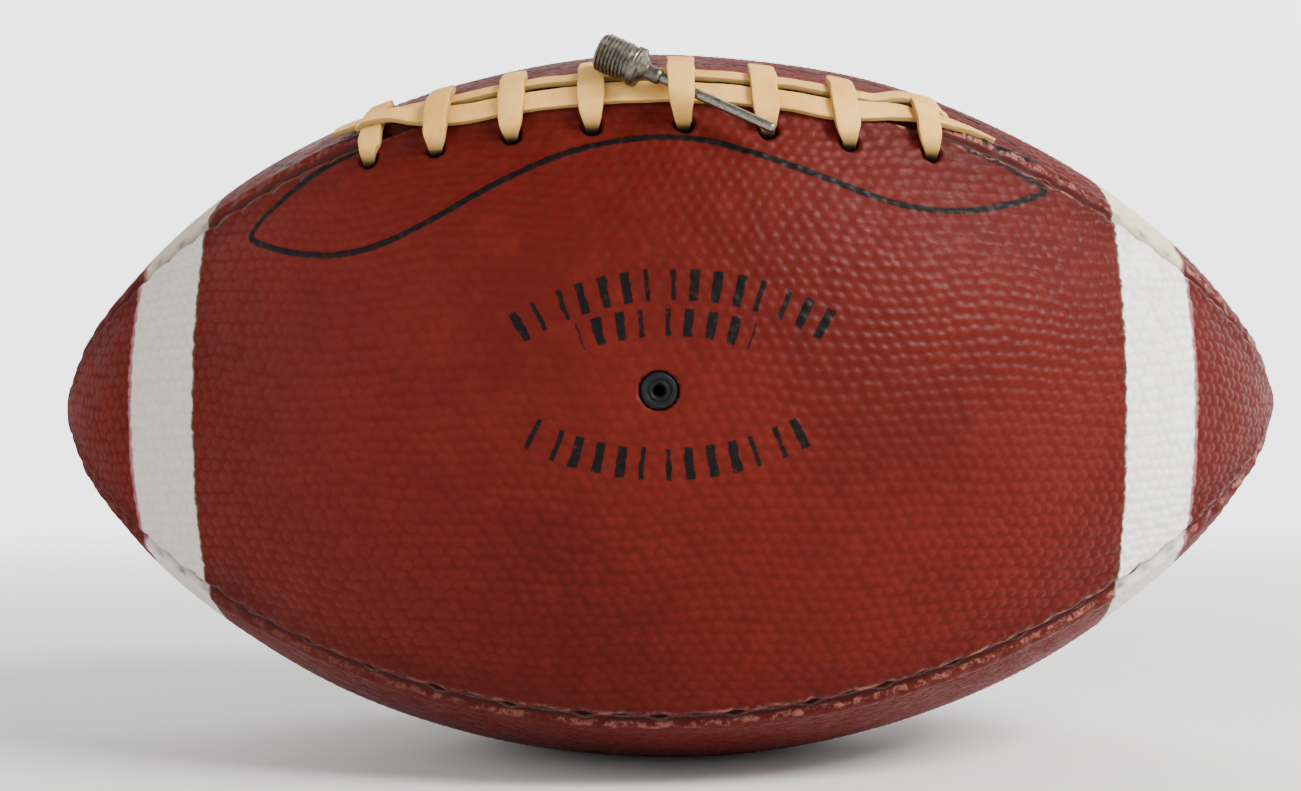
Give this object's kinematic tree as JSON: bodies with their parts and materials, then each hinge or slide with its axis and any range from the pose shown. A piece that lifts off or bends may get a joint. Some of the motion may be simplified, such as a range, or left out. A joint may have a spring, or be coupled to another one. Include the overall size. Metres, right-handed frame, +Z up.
{
  "type": "laced football with inflating needle",
  "caption": "Laced pebble-leather football of stitched panels over a bladder, with a hollow inflating needle that slides out from under the lace.",
  "frame": {"origin": "centre of the flat contact patch under the bottom panel, on the floor", "axes": "+X along the ball from tip to tip, -Y out of the valve panel, +Z up; the laced seam lies between -Y and +Z"},
  "size_m": [0.28, 0.1586, 0.1574],
  "materials": {
    "panel_leather": "pebbled, satin, worn",
    "facing_leather": "flesh side, matt",
    "canvas": "woven, matt",
    "seam_thread": "waxed",
    "bladder_rubber": "smooth, matt",
    "valve_rubber": "moulded, dull",
    "lace_leather": "smooth, worn",
    "needle_metal": "dull nickel, turned",
    "tube_metal": "drawn tube, dull"
  },
  "bodies": {
    "ball": {"panel_front": "panel_leather", "panel_top": "panel_leather", "panel_back": "panel_leather", "panel_bottom": "panel_leather", "lining_front": "canvas", "lining_top": "canvas", "lining_back": "canvas", "lining_bottom": "canvas", "lace_facing_front": "facing_leather", "lace_facing_top": "facing_leather", "lace_tongue": "facing_leather", "thread_front_bottom": "seam_thread", "thread_bottom_back": "seam_thread", "thread_back_top": "seam_thread", "thread_top_front_left": "seam_thread", "thread_top_front_right": "seam_thread", "bladder": "bladder_rubber", "valve_housing": "valve_rubber", "valve_plug": "valve_rubber", "lace_crossbars": "lace_leather", "lace_strand_upper": "lace_leather", "lace_strand_lower": "lace_leather"},
    "needle": {"needle_head": "needle_metal", "needle_tube": "tube_metal"}
  },
  "joints": [
    {"name": "needle_slide", "type": "slide", "parent": "ball", "child": "needle", "axis": [-0.8893, 0.1338, 0.4374], "range_m": [0, 0.045]}
  ]
}
